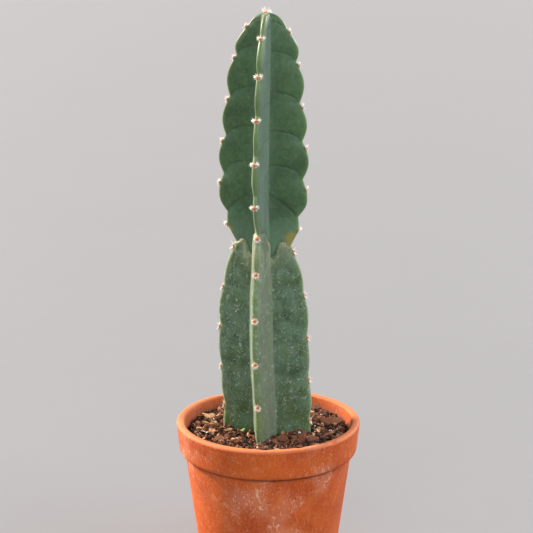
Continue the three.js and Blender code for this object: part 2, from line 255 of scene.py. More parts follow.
def new_piece(name, bm, material, replaced=(), smooth=True):
    """Makes a piece of a bmesh: it rides on the root body and stands for the nodes it replaces."""
    mesh = bpy.data.meshes.new(name)
    bm.to_mesh(mesh)
    bm.free()
    mesh.polygons.foreach_set("use_smooth", [smooth] * len(mesh.polygons))
    mesh.materials.append(material)
    piece = bpy.data.objects.new(name, mesh)
    bpy.context.collection.objects.link(piece)
    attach(piece, "root")
    if replaced:
        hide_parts(*replaced)
    return piece


def pot_outline():
    """Radius and height round the pot's section, from its underside over the lip to the drain hole."""
    lip = 2.4 * MM
    inner_lip = 2.1 * MM
    foot = 3.6 * MM
    outline = [(DRAIN_RADIUS + 1 * MM, 0)]
    outline += arc(BASE_RADIUS - 2 * MM, 2 * MM, 2 * MM, -90, -8)
    outline += [(BODY_TOP_RADIUS, BAND_FOOT - 0.6 * MM)]
    outline += arc(BODY_TOP_RADIUS + 0.9 * MM, BAND_FOOT - 0.7 * MM, 0.9 * MM, 180, 100, 3)
    outline += arc(BAND_FOOT_RADIUS - foot, BAND_FOOT + foot, foot, -90, 0)
    outline += arc(RIM_RADIUS - lip, POT_HEIGHT - lip, lip, 0, 84)
    outline += arc(RIM_RADIUS - LIP_WIDTH + inner_lip, POT_HEIGHT - inner_lip - 0.2 * MM, inner_lip, 96, 176)
    outline += [(bore_radius(BAND_FOOT), BAND_FOOT)]
    outline += arc(bore_radius(POT_FLOOR) - 4 * MM, POT_FLOOR + 4 * MM, 4 * MM, 0, -90)
    outline += [(DRAIN_RADIUS + 1.2 * MM, POT_FLOOR), (DRAIN_RADIUS, POT_FLOOR - 1.2 * MM)]
    outline += [(DRAIN_RADIUS, 1 * MM)]
    return outline


def pot_mesh():
    """The pot's section, cut into short edges and spun round its axis."""
    bm = bmesh.new()
    corners = [bm.verts.new((r, 0, z)) for r, z in pot_outline()]
    for i, corner in enumerate(corners):
        bm.edges.new((corner, corners[(i + 1) % len(corners)]))
    row = 1.6 * MM
    for edge in bm.edges[:]:
        cuts = int(edge.calc_length() / row)
        if cuts:
            bmesh.ops.subdivide_edges(bm, edges=[edge], cuts=cuts)
    bmesh.ops.spin(
        bm, geom=bm.verts[:] + bm.edges[:], axis=(0, 0, 1), angle=math.tau, steps=190, use_merge=True
    )
    bmesh.ops.recalc_face_normals(bm, faces=bm.faces)
    inner_darkening = bm.verts.layers.float.new("inner_darkening")
    for vert in bm.verts:
        # Slightly out of round, with faint throwing rings and a few knocks along the lip.
        x, y, z = vert.co
        bearing = Vector((x, y, 0)).normalized()
        radius = math.hypot(x, y)
        swell = 0.35 * MM * noise.noise(Vector((x, y, z * 0.6)) * 22)
        rings = 0.09 * MM * math.sin(z / (0.55 * MM) + 2 * noise.noise(bearing * 2 + Vector((0, 0, z * 90))))
        near_lip = max(0.0, 1 - (POT_HEIGHT - z) / (4 * MM))
        knock = max(0.0, noise.noise(Vector((x, y, z)) * 150) - 0.42) * 2.2 * MM * near_lip
        groove = GROOVE_DEPTH * math.exp(-(((z - GROOVE_HEIGHT) / (0.8 * MM)) ** 2))
        if radius < bore_radius(max(z, POT_FLOOR)) + 2 * MM:
            groove = 0.0
        if z > 1 * MM and radius > DRAIN_RADIUS + 2 * MM:
            vert.co += bearing * (swell + rings - knock - groove)
            vert.co.z -= knock
        # Inside the pot, a mark that makes the inner wall darker further down.
        inside = radius < bore_radius(max(z, POT_FLOOR)) + 1.5 * MM and z < POT_HEIGHT - 2 * MM
        vert[inner_darkening] = min(1.0, max(0.0, (POT_HEIGHT - 2 * MM - z) / (7 * MM))) if inside else 0.0
    return bm


def terracotta_material():
    material, tree, shader, place = new_material("fired clay")
    patches = placed_group(tree, MOTTLING, place, 38.0, 14.0)
    clay = mixed(tree, between(tree, patches, 0.3, 0.7), painted(164, 64, 16), painted(192, 90, 30))
    # Pale mineral bloom: soft clouds, thin scratchy streaks and dots of salt inside them.
    clouds = add_node(
        tree, "ShaderNodeTexNoise", {"Vector": place, "Scale": 24.0, "Detail": 4.0, "Roughness": 0.62}
    )
    cloud = between(tree, clouds.outputs[0], 0.46, 0.66)
    stretched = add_node(tree, "ShaderNodeMapping", {"Vector": place, "Scale": (1.0, 1.0, 0.5)})
    scratch_noise = add_node(
        tree,
        "ShaderNodeTexNoise",
        {
            "Vector": stretched.outputs[0],
            "Scale": 260.0,
            "Detail": 4.0,
            "Roughness": 0.72,
            "Distortion": 2.2,
        },
    )
    scratches = between(tree, scratch_noise.outputs[0], 0.55, 0.62)
    salt = placed_group(tree, SPECKS, place, 330.0, 0.22, 0.13)
    streaks = maths(tree, "MULTIPLY", scratches, between(tree, cloud, 0.0, 1.0, 0.28, 1.0))
    marks = maths(tree, "ADD", streaks, maths(tree, "MULTIPLY", salt, 0.7), clamp=True)
    cloudy = maths(tree, "MULTIPLY", cloud, 0.2)
    haze = maths(tree, "ADD", cloudy, maths(tree, "MULTIPLY", marks, 0.62), clamp=True)
    bloomed = mixed(tree, haze, clay, painted(230, 178, 148))
    pits = placed_group(tree, SPECKS, place, 260.0, 0.22, 0.1)
    pitted = mixed(tree, maths(tree, "MULTIPLY", pits, 0.8), bloomed, painted(84, 36, 20))
    # The lip's top is painted paler as a painted highlight, and the inner wall turns darker further down.
    height = add_node(tree, "ShaderNodeSeparateXYZ", {0: place}).outputs["Z"]
    # A painted highlight on the top of the lip.
    worn = maths(tree, "MULTIPLY", between(tree, height, POT_HEIGHT - 3 * MM, POT_HEIGHT), 0.5)
    lipped = mixed(tree, worn, pitted, painted(216, 138, 96))
    inner_darkening = add_node(tree, "ShaderNodeAttribute", attribute_name="inner_darkening").outputs["Fac"]
    inner_darkened = mixed(tree, maths(tree, "MULTIPLY", inner_darkening, 0.72), lipped, painted(118, 62, 34))
    # Painted shadow darkens the clay just under the band.
    under = between(tree, height, BAND_FOOT - 3.4 * MM, BAND_FOOT + 0.4 * MM)
    above = between(tree, height, BAND_FOOT + 0.4 * MM, BAND_FOOT + 2.2 * MM, 1.0, 0.0)
    shade = maths(tree, "MULTIPLY", maths(tree, "MULTIPLY", under, above), 0.45)
    tree.links.new(mixed(tree, shade, inner_darkened, painted(96, 44, 24)), shader.inputs["Base Color"])
    tree.links.new(between(tree, haze, 0.0, 0.5, 0.66, 0.92), shader.inputs["Roughness"])
    shader.inputs["Specular IOR Level"].default_value = 0.3
    grit = add_node(tree, "ShaderNodeTexNoise", {"Vector": place, "Scale": 1500.0, "Detail": 3.0})
    relief_map = maths(tree, "SUBTRACT", maths(tree, "MULTIPLY", grit.outputs[0], 0.5), pits)
    relief_map = maths(tree, "ADD", relief_map, maths(tree, "MULTIPLY", marks, 0.35))
    bumped(tree, shader, relief_map, 0.55, 0.25 * MM)
    return material


new_piece("pot", pot_mesh(), terracotta_material(), ["clay_pot"])

# ---- Cactus stem --------------------------------------------------------------------------------
# One grown body with four ribs. The old growth below the waist is weathered, and the new growth above
# it bulges between one areole and the next, where each bulge folds over the one under it.

WAIST = 261 * MM
STEM_FOOT = 62 * MM
SOIL_TOP = 114 * MM
stem_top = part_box("cactus_stem")[1].z
FRONT_BEARING = -11  # degrees from -Y towards +X
# Each rib, going round by right angles: its waist lies this much higher, and its reach is this share.
RIBS = {
    "front": (9 * MM, 1.0),
    "right": (-2 * MM, 0.985),
    "back": (4 * MM, 0.99),
    "left": (0.0, 1.0),
}
RIB_NAMES = list(RIBS)

# Height, radius over the crests, radius of the valleys, half thickness of a crest, in millimetres.
OUTLINE = [
    (60, 0.6, 0.6, 0.3),
    (66, 9, 6, 3),
    (76, 20, 8.5, 3.4),
    (90, 30.5, 11, 3.2),
    (114, 34.4, 12.6, 2.9),
    (180, 35.2, 12.8, 2.7),
    (210, 34.2, 12.2, 2.6),
    (230, 31.4, 11.2, 2.5),
    (247, 27, 9.8, 2.3),
    (261, 22.8, 8.4, 1.9),
    (277, 28.6, 7.6, 1.7),
    (292, 33, 7, 1.6),
    (318, 33.8, 6.8, 1.6),
    (352, 31.3, 6.6, 1.6),
    (378, 28.6, 6.3, 1.6),
    (390, 27.2, 6.1, 1.6),
    (402, 24, 5.8, 1.6),
    (411, 19.6, 5.4, 1.5),
    (418, 15, 5, 1.5),
    (423, 10.4, 4.4, 1.4),
    (426, 6, 3.2, 1.1),
    (427, 2.4, 1.6, 0.7),
]
# How far the axis wanders towards +X on the way up, in millimetres.
LEAN = [(60, 0), (120, -0.4), (190, -3.3), (300, -3.6), (360, -2.6), (427, -1)]


def along(rows, z, column):
    """A smooth value at height z, through rows of heights and values in millimetres."""
    z = z / MM
    last = len(rows) - 1
    if z <= rows[0][0]:
        return rows[0][column] * MM
    if z >= rows[last][0]:
        return rows[last][column] * MM
    i = next(k for k, row in enumerate(rows) if row[0] > z) - 1

    def slope(a, b):
        return (rows[b][column] - rows[a][column]) / (rows[b][0] - rows[a][0])

    def gentle(a, b):
        return 0 if a * b <= 0 else 2 * a * b / (a + b)

    here = slope(i, i + 1)
    before = slope(i - 1, i) if i > 0 else here
    after = slope(i + 1, i + 2) if i + 1 < last else here
    span = rows[i + 1][0] - rows[i][0]
    t = (z - rows[i][0]) / span
    value = rows[i][column] * (1 + 2 * t) * (1 - t) ** 2
    value += gentle(before, here) * span * t * (1 - t) ** 2
    value += rows[i + 1][column] * t * t * (3 - 2 * t)
    value += gentle(here, after) * span * t * t * (t - 1)
    return value * MM


@functools.cache
def outline_at(z, column):
    return along(OUTLINE, z, column)


def areole_nodes(rib_name):
    """The rib's areole nodes, lowest first, with the height of each."""
    names = sorted(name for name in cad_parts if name.startswith(f"areole_{rib_name}_"))
    return [(name, (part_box(name)[0].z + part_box(name)[1].z) / 2) for name in names]


AREOLES = {rib_name: areole_nodes(rib_name) for rib_name in RIBS}
TIP_ROOM = 14 * MM  # the topmost bulge of each rib would end this far above the tip
FULLEST = 0.55  # a bulge stands out furthest this share of the way down from its upper notch
NEW_FOLD_DEPTH = 0.9 * MM
DEEP_FOLD_DEPTH = 1.9 * MM
# How far the folds climb inwards: above the first areole over the waist, the second, and the rest.
NEW_FOLD_CLIMBS = (18 * MM, 10 * MM, 7 * MM)
LOW_FOLD_LIFT = 0.075  # the extra rise of a fold above its areole, for each unit below LIFT_END
LIFT_END = 368 * MM
OLD_FOLD_DEPTH = 0.45 * MM


def waist_height(rib_name):
    return WAIST + RIBS[rib_name][0]


def eased(value, low, high):
    share = min(1.0, max(0.0, (value - low) / (high - low)))
    return share * share * (3 - 2 * share)


def fold_starts(rib_name):
    """Where each fold leaves the crest: its height, how far it climbs inwards, and its depth."""
    waist = waist_height(rib_name)
    new_heights = [z for _, z in AREOLES[rib_name] if z > waist]
    starts = [(z + 1.5 * MM, 5 * MM, OLD_FOLD_DEPTH) for _, z in AREOLES[rib_name] if z <= waist]
    for number, z in enumerate(new_heights):
        climb = NEW_FOLD_CLIMBS[min(number, 2)]
        depth = DEEP_FOLD_DEPTH if number == 0 else NEW_FOLD_DEPTH
        room = min(1.0, outline_at(z, 1) / (28 * MM))
        lift = 2.8 * MM + LOW_FOLD_LIFT * max(0.0, LIFT_END - z)
        starts.append((z + lift, climb * room, depth))
    return starts


FOLDS = {rib_name: fold_starts(rib_name) for rib_name in RIBS}


@functools.cache
def crest_reach(rib_name, z):
    """Radius of a rib's crest: the outline, scalloped between one fold and the next."""
    lift, share = RIBS[rib_name]
    near_waist = math.exp(-(((z - WAIST) / (26 * MM)) ** 2))
    reach = outline_at(z - lift * near_waist, 1) * share
    starts = [start for start, _, _ in FOLDS[rib_name]]
    above = min((start for start in starts if start > z), default=stem_top + TIP_ROOM)
    below = max((start for start in starts if start <= z), default=2 * starts[0] - starts[1])
    is_new = z > waist_height(rib_name)
    fallen = min(1.0, (above - z) / (above - below))
    if fallen < FULLEST:
        fullness = math.sin(fallen / FULLEST * math.pi / 2)
    else:
        fullness = math.cos((fallen - FULLEST) / (1 - FULLEST) * math.pi / 2)
    depth = (3.9 if is_new else 1.7) * MM * min(1.0, reach / (26 * MM)) ** 2
    return reach - depth * (1 - fullness)


@functools.cache
def waist_line(rib_name, inwards):
    """Height of the fold between old and new growth: it arches over the old shoulder, then drops."""
    arch = (0.4 if rib_name == "front" else 3.2) * MM * math.sin(min(1.0, inwards / 0.75) * math.pi)
    return waist_height(rib_name) + arch - 8.5 * MM * eased(inwards, 0.4, 1.0)


@functools.cache
def fold_lines(rib_name, inwards):
    """Height and depth of each fold at this share of the way from crest to valley, lowest first."""
    lines = [(waist_line(rib_name, inwards), NEW_FOLD_DEPTH)]
    for start, climb, depth in FOLDS[rib_name]:
        if depth == OLD_FOLD_DEPTH and start > waist_height(rib_name) - 6 * MM:
            continue
        climbed = inwards if depth == DEEP_FOLD_DEPTH else 1 - math.exp(-3.4 * inwards)
        lines.append((start + climb * climbed, depth))
    lines.sort()
    first, last = lines[0][0], lines[-1][0]
    return [(first - 32 * MM, OLD_FOLD_DEPTH), *lines, (max(last, stem_top) + TIP_ROOM, 0.0)]


def bulge(rib_name, z, inwards):
    """How far up its bulge a point of the flank is, from 0 to 1, and the depth of the fold under it."""
    lines = fold_lines(rib_name, inwards)
    number = max(0, sum(height <= z for height, _ in lines) - 1)
    below, depth = lines[number]
    return max(0.0, (z - below) / (lines[number + 1][0] - below)), depth


def relief(rib_name, z, inwards, tip):
    """How far the skin stands proud of the plain rib, from folds, the old shoulder and wrinkles."""
    waist = waist_line(rib_name, inwards)
    share, depth = bulge(rib_name, z, inwards)
    softness = 0.05 if depth == DEEP_FOLD_DEPTH else 0.1
    fullness = (1 - math.exp(-share / softness)) * (1 - 0.7 * share**1.6)
    fade = eased(inwards, -0.12, 0.3) * (1 - 0.72 * inwards)
    proud = depth * fullness * fade * min(1.0, outline_at(z, 1) / (24 * MM))
    if z > waist:
        proud -= 0.5 * MM * math.exp(-(z - waist) / (7 * MM))
    else:
        under = waist - z
        proud += 1.7 * MM * (1 - math.exp(-under / (1.1 * MM))) * math.exp(-under / (11 * MM))
    return proud * (1 - 0.8 * tip)


PER_RIB = 52
TIP_SHARE = 0.2
FOOT_ROWS = 9
SKIN_ROWS = 410


def row_height(row):
    """Heights of the rings of the mesh: wide under the soil, close above it."""
    low = SOIL_TOP - 8 * MM
    if row < FOOT_ROWS:
        return STEM_FOOT + (low - STEM_FOOT) * row / FOOT_ROWS
    return low + (stem_top - low) * (row - FOOT_ROWS) / (SKIN_ROWS - 1)


@functools.cache
def rib_frame(rib_name):
    """The direction a rib points in, and the direction along its thickness."""
    bearing = math.radians(FRONT_BEARING + 90 * RIB_NAMES.index(rib_name))
    outwards = Vector((math.sin(bearing), -math.cos(bearing), 0))
    sideways = Vector((math.cos(bearing), math.sin(bearing), 0))
    return outwards, sideways


def skin_point(rib_name, round_share, z):
    """A point of the skin. round_share runs from 0 to 1 over one rib, from valley to crest to valley."""
    outwards, sideways = rib_frame(rib_name)
    side = -1 if round_share < 0.5 else 1
    from_crest = abs(2 * round_share - 1)
    half = outline_at(z, 3)
    reach = max(crest_reach(rib_name, z), half * 1.05)
    valley = min(outline_at(z, 2), reach) * math.sqrt(0.5)
    shoulder = max(reach - half, valley)
    if from_crest < TIP_SHARE:
        angle = from_crest / TIP_SHARE * math.pi / 2
        out = reach - half + half * math.cos(angle)
        across = half * math.sin(angle)
        facing = Vector((math.cos(angle), math.sin(angle)))
        inwards = 0.0
        tip = math.cos(angle)
    else:
        inwards = (from_crest - TIP_SHARE) / (1 - TIP_SHARE)
        out = shoulder + (valley - shoulder) * inwards
        across = half + (valley - half) * inwards
        flank = Vector((max(valley - half, 0.1 * MM), max(shoulder - valley, 0.1 * MM))).normalized()
        diagonal = Vector((math.sqrt(0.5), math.sqrt(0.5)))
        facing = flank.lerp(diagonal, eased(inwards, 0.72, 1.0)).normalized()
        tip = 0.0
    proud = relief(rib_name, z, inwards, tip)
    out += facing.x * proud
    across += facing.y * proud
    point = outwards * out + sideways * across * side
    point += Vector((along(LEAN, z, 1), 0, z))
    rough = 0.34 if z < WAIST else 0.2
    wander = noise.noise(Vector((point.x, point.y, point.z * 0.55)) * 110) * rough
    wander += noise.noise(Vector((point.x * 2.2, point.y * 2.2, point.z * 0.5)) * 200) * rough * 0.5
    direction = outwards * facing.x + sideways * facing.y * side
    return point + direction * wander * MM, inwards, tip


def stem_mesh():
    """The skin as a tube of many rings, whose points are moved onto the ribs."""
    around = len(RIBS) * PER_RIB
    rows = FOOT_ROWS + SKIN_ROWS
    bm = bmesh.new()
    bmesh.ops.create_cone(bm, cap_ends=True, segments=around, radius1=1, radius2=1, depth=2)
    upright = [edge for edge in bm.edges if abs(edge.verts[0].co.z - edge.verts[1].co.z) > 1]
    bmesh.ops.subdivide_edges(bm, edges=upright, cuts=rows - 2, use_grid_fill=True)
    crest = bm.verts.layers.float.new("crest")
    fold = bm.verts.layers.float.new("fold")
    inner = bm.verts.layers.float.new("inwards")
    old = bm.verts.layers.float.new("old")
    shoulder = bm.verts.layers.float.new("shoulder")
    wax_bloom_and_side_light = bm.verts.layers.float.new("wax_bloom_and_side_light")
    for vert in bm.verts:
        slot = round(math.atan2(vert.co.y, vert.co.x) / math.tau * around) % around
        rib_name = RIB_NAMES[slot // PER_RIB]
        round_share = slot % PER_RIB / PER_RIB
        z = row_height(round((vert.co.z + 1) / 2 * (rows - 1)))
        vert.co, inwards, tip = skin_point(rib_name, round_share, z)
        under_waist = waist_line(rib_name, inwards) - z
        vert[crest] = max(tip, 0.4 * math.exp(-inwards / 0.03))
        vert[fold] = bulge(rib_name, z, inwards)[0]
        vert[inner] = inwards
        vert[old] = eased(under_waist, -0.4 * MM, 0.4 * MM)
        reach_down = (22 if rib_name == "front" else 7) * MM
        vert[shoulder] = math.exp(-max(0.0, under_waist) / reach_down)
        # The right flank of the front rib is painted paler: wax bloom, with painted light from the right
        # over it.
        vert[wax_bloom_and_side_light] = eased(inwards, 0.0, 0.12) if rib_name == "front" and round_share > 0.5 else 0.0
    caps = [face for face in bm.faces if len(face.verts) > 4]
    bmesh.ops.poke(bm, faces=caps)
    bmesh.ops.recalc_face_normals(bm, faces=bm.faces)
    return bm


def skin_material():
    material, tree, shader, place = new_material("cactus skin")

    def stored(name):
        return add_node(tree, "ShaderNodeAttribute", attribute_name=name).outputs["Fac"]

    def times(first, second):
        return maths(tree, "MULTIPLY", first, second)

    crest, fold, inwards, old = stored("crest"), stored("fold"), stored("inwards"), stored("old")
    shoulder = times(stored("shoulder"), old)
    height = add_node(tree, "ShaderNodeSeparateXYZ", {0: place}).outputs["Z"]
    broad = placed_group(tree, MOTTLING, place, 46.0, 7.0)
    upright = add_node(tree, "ShaderNodeMapping", {"Vector": place, "Scale": (1.0, 1.0, 0.3)}).outputs[0]
    streaky = placed_group(tree, MOTTLING, upright, 130.0, 5.0)
    blotchy = placed_group(tree, MOTTLING, place, 120.0, 7.0)
    fresh = mixed(tree, between(tree, broad, 0.36, 0.64), painted(42, 74, 34), painted(62, 98, 54))
    aged = mixed(tree, between(tree, blotchy, 0.38, 0.6), painted(42, 68, 32), painted(72, 98, 60))
    low = between(tree, height, SOIL_TOP, SOIL_TOP + 45 * MM, 0.7, 0.0)
    aged = mixed(tree, low, aged, painted(66, 92, 38))
    green = mixed(tree, old, fresh, aged)
    # Blue-grey wax lies in the valleys and over much of the old growth; the pale top of each bulge is wax
    # with a painted highlight.
    patchy = between(tree, placed_group(tree, MOTTLING, place, 95.0, 6.0), 0.38, 0.62)
    top_wax_and_highlight = times(between(tree, fold, 0.55, 1.0), between(tree, inwards, 0.0, 0.8, 0.6, 0.1))
    valley = between(tree, inwards, 0.7, 1.0, 0.0, 0.6)
    new_wax_and_highlight = times(maths(tree, "MAXIMUM", top_wax_and_highlight, valley), between(tree, patchy, 0.0, 1.0, 0.45, 1.0))
    above_waist = between(tree, height, WAIST + 4 * MM, WAIST + 30 * MM, 0.7, 0.0)
    new_wax_and_highlight = maths(tree, "MAXIMUM", new_wax_and_highlight, above_waist)
    old_wax = times(patchy, 0.75)
    wax_and_painted_light = add_node(tree, "ShaderNodeMix", {0: old, 2: new_wax_and_highlight, 3: old_wax}).outputs[0]
    # Wax bloom with painted side light, streaked, on the front rib's right flank.
    wax_bloom_and_side_light = times(stored("wax_bloom_and_side_light"), between(tree, streaky, 0.3, 0.62, 0.45, 1.0))
    wax_and_painted_light = maths(tree, "MAXIMUM", wax_and_painted_light, wax_bloom_and_side_light)
    waxy = mixed(tree, times(stored("wax_bloom_and_side_light"), old), painted(98, 127, 108), painted(114, 126, 98))
    waxed = mixed(tree, times(wax_and_painted_light, 0.6), green, waxy)
    # Painted shade darkens the crease at the foot of each bulge, under the bulge above, and less on the old
    # growth.
    crease_shade = times(between(tree, fold, 0.0, 0.09, 0.6, 0.0), between(tree, inwards, 0.0, 0.1))
    crease_shade = times(crease_shade, between(tree, old, 0.0, 1.0, 1.0, 0.15))
    waxed = mixed(tree, crease_shade, waxed, painted(22, 44, 22))
    # The very edge of each rib is thin; its pale yellow-green is partly its own colour and partly painted
    # rim light.
    edge = mixed(tree, times(crest, 0.3), waxed, painted(136, 160, 92))
    # Pale cork streaks fan down from the old growth's shoulders.
    fan = times(shoulder, between(tree, streaky, 0.4, 0.6))
    fanned = mixed(tree, times(fan, 0.55), edge, painted(172, 166, 128))
    # Pale scurf on the old growth, tiny breathing pores everywhere, and tan corky scars.
    pores = placed_group(tree, SPECKS, place, 620.0, 0.2, 0.5)
    scurf_noise = add_node(
        tree,
        "ShaderNodeTexNoise",
        {"Vector": place, "Scale": 420.0, "Detail": 5.0, "Roughness": 0.72, "Distortion": 0.8},
    )
    scurf = times(between(tree, scurf_noise.outputs[0], 0.55, 0.68), between(tree, old, 0, 1, 0.12, 1.0))
    pale = maths(tree, "ADD", times(pores, 0.26), times(scurf, 0.6), clamp=True)
    specked = mixed(tree, pale, fanned, painted(178, 196, 178))
    scars = placed_group(tree, SPECKS, place, 95.0, 0.16, between(tree, shoulder, 0.0, 0.7, 0.02, 0.3))
    scarred = mixed(tree, scars, specked, painted(186, 148, 84))
    # A corky olive patch on the right rib, and a yellowed crest on the left one, just above the waist.
    corky = 0.0
    for centre, size in CORK_PATCHES:
        gap = add_node(tree, "ShaderNodeVectorMath", {0: place, 1: centre}, operation="DISTANCE")
        ragged = maths(tree, "ADD", gap.outputs["Value"], times(streaky, 6 * MM))
        spot = between(tree, ragged, size * 0.9, size * 1.5, 1.0, 0.0)
        corky = maths(tree, "MAXIMUM", corky, spot)
    corky = times(corky, maths(tree, "SUBTRACT", 1.0, old))
    corked = mixed(tree, times(corky, 0.85), scarred, painted(140, 128, 56))
    tree.links.new(corked, shader.inputs["Base Color"])
    rough = maths(tree, "ADD", between(tree, wax_and_painted_light, 0.0, 1.0, 0.42, 0.6), times(pale, 0.2))
    tree.links.new(rough, shader.inputs["Roughness"])
    shader.inputs["Specular IOR Level"].default_value = 0.45
    shader.inputs["Sheen Weight"].default_value = 0.3
    shader.inputs["Subsurface Weight"].default_value = 0.1
    shader.inputs["Subsurface Radius"].default_value = (0.9, 1.4, 0.5)
    shader.inputs["Subsurface Scale"].default_value = 1.2 * MM
    peel = add_node(tree, "ShaderNodeTexNoise", {"Vector": place, "Scale": 900.0, "Detail": 3.0})
    bumps = maths(tree, "ADD", times(peel.outputs[0], 0.35), times(pores, 0.3))
    bumps = maths(tree, "ADD", bumps, times(scars, 1.2))
    bumps = maths(tree, "ADD", bumps, times(streaky, between(tree, old, 0.0, 1.0, 0.3, 1.4)))
    bumped(tree, shader, bumps, 0.5, 0.3 * MM)
    return material


def crest_point(rib_name, z):
    """The point of a rib's crest at a height."""
    return skin_point(rib_name, 0.5, z)[0]


CORK_PATCHES = [
    (crest_point("right", WAIST + 3 * MM) - rib_frame("right")[0] * 1.5 * MM, 7.5 * MM),
    (crest_point("left", WAIST + 9 * MM), 5 * MM),
]
new_piece("stem", stem_mesh(), skin_material(), ["cactus_stem"])

# ---- Areoles and growing tip --------------------------------------------------------------------
# Each areole is a cushion of brown felt with a collar of cream wool, a few stout short spines and
# fine bristles, all grown from the crest of a rib. The growing tip carries a larger tuft of the same.

FELT_RADIUS = 1.45 * MM
WOOL_RADIUS = 0.13 * MM
areole_rng = random.Random(41)
FELT_TONE = 0.05
SPINE_TONE = 0.66  # at the root of a spine, and at its point
SPINE_POINT_TONE = 0.9


def hair(bm, tone, start, direction, length, radius, tones, sides=3):
    """A tapering hair or spine: a thin cone from its root to a point."""
    turn = direction.to_track_quat("Z", "Y").to_matrix().to_4x4()
    place = Matrix.Translation(start + direction * length / 2) @ turn
    made = bmesh.ops.create_cone(
        bm,
        cap_ends=True,
        cap_tris=True,
        segments=sides,
        radius1=radius,
        radius2=0,
        depth=length,
        matrix=place,
    )
    for vert in made["verts"]:
        at_tip = (vert.co - start).dot(direction) > length / 2
        vert[tone] = tones[1] if at_tip else tones[0]


def leaning(lean, bearing):
    """A direction this many degrees from straight out, towards a bearing; 90 is up the rib."""
    lean, bearing = math.radians(lean), math.radians(bearing)
    return Vector((math.sin(lean) * math.cos(bearing), math.sin(lean) * math.sin(bearing), math.cos(lean)))


def areole_mesh(seat, size, lobes, spines):
    """Felt, wool and spines in the local frame of a seat: x across the rib, y up it, z straight out."""
    bm = bmesh.new()
    tone = bm.verts.layers.float.new("tone")
    for vert in bmesh.ops.create_icosphere(bm, subdivisions=3, radius=FELT_RADIUS)["verts"]:
        lump = 1 + 0.22 * noise.noise(vert.co * 1900 + Vector((size * 9, seat.translation.z * 700, 0)))
        vert.co = Vector((vert.co.x * 1.05, vert.co.y * 1.15, vert.co.z * 0.8)) * lump
        vert[tone] = FELT_TONE + 0.12 * areole_rng.random()
    for _ in range(60):
        # Short felt all over the cushion.
        direction = leaning(areole_rng.uniform(0, 80), areole_rng.uniform(0, 360))
        start = Vector((direction.x, direction.y * 1.1, direction.z * 0.66)) * FELT_RADIUS
        shade = areole_rng.uniform(0.02, 0.3)
        hair(bm, tone, start, direction, areole_rng.uniform(0.3, 0.7) * MM, 0.08 * MM, (shade, shade + 0.12))
    for bearing, spread, count, reach in lobes:
        # Wool, combed towards each lobe.
        for _ in range(count):
            towards = bearing + areole_rng.gauss(0, spread)
            direction = leaning(areole_rng.uniform(40, 86), towards)
            root = FELT_RADIUS * areole_rng.uniform(0.8, 1.1)
            start = leaning(90, towards) * root + Vector((0, 0, areole_rng.uniform(0, 0.5) * MM))
            shade = areole_rng.uniform(0.84, 1.0)
            length = reach * areole_rng.uniform(0.5, 1.0)
            hair(bm, tone, start, direction, length, WOOL_RADIUS, (shade, shade))
    for lean, bearing, length, radius in spines:
        direction = leaning(lean + areole_rng.uniform(-6, 6), bearing + areole_rng.uniform(-9, 9))
        start = Vector((direction.x, direction.y, 0)) * FELT_RADIUS * 0.5 + Vector((0, 0, 0.2 * MM))
        grown = length * areole_rng.uniform(0.85, 1.1)
        hair(bm, tone, start, direction, grown, radius, (SPINE_TONE, SPINE_POINT_TONE), sides=6)
    for _ in range(9):
        direction = leaning(areole_rng.uniform(35, 80), areole_rng.uniform(0, 360))
        start = Vector((0, 0, 0.3 * MM))
        hair(bm, tone, start, direction, areole_rng.uniform(3, 5.2) * MM, 0.08 * MM, (0.8, 0.95))
    bmesh.ops.transform(bm, matrix=seat @ Matrix.Scale(size, 4), verts=bm.verts)
    bmesh.ops.recalc_face_normals(bm, faces=bm.faces)
    return bm


def areole_material():
    """Wool and spines are pale and felt is brown: each vertex stores which of them it belongs to."""
    material, tree, shader, place = new_material("areole wool")
    tone = add_node(tree, "ShaderNodeAttribute", attribute_name="tone").outputs["Fac"]
    flecks = placed_group(tree, MOTTLING, place, 700.0, 4.0)
    tone = maths(tree, "ADD", tone, between(tree, flecks, 0.3, 0.7, -0.08, 0.08))
    felt = mixed(tree, between(tree, tone, 0.0, 0.4), painted(170, 88, 38), painted(228, 168, 114))
    wool = mixed(tree, between(tree, tone, 0.4, 0.85), felt, painted(255, 248, 236))
    tree.links.new(wool, shader.inputs["Base Color"])
    tree.links.new(between(tree, tone, 0.3, 0.7, 0.95, 0.6), shader.inputs["Roughness"])
    shader.inputs["Sheen Weight"].default_value = 0.25
    bumped(tree, shader, flecks, 0.4, 0.1 * MM)
    return material


# Wool lobes: bearing, spread, number of hairs, length. Spines: lean, bearing, length, root radius.
NEW_LOBES = [(165, 17, 50, 3.0 * MM), (28, 17, 56, 3.3 * MM), (270, 50, 18, 1.5 * MM)]
NEW_SPINES = [
    (62, 160, 4.0 * MM, 0.38 * MM),
    (58, 34, 4.2 * MM, 0.38 * MM),
    (66, 215, 3.0 * MM, 0.3 * MM),
    (66, 325, 3.0 * MM, 0.3 * MM),
    (25, 100, 2.4 * MM, 0.28 * MM),
]
OLD_LOBES = [
    (270, 26, 74, 3.4 * MM),
    (200, 18, 26, 2.0 * MM),
    (340, 18, 26, 2.0 * MM),
    (90, 40, 10, 1.2 * MM),
]
OLD_SPINES = [
    (70, 235, 3.2 * MM, 0.34 * MM),
    (70, 270, 3.4 * MM, 0.34 * MM),
    (70, 305, 3.2 * MM, 0.34 * MM),
    (60, 25, 2.5 * MM, 0.28 * MM),
    (60, 155, 2.5 * MM, 0.28 * MM),
]
wool_material = areole_material()


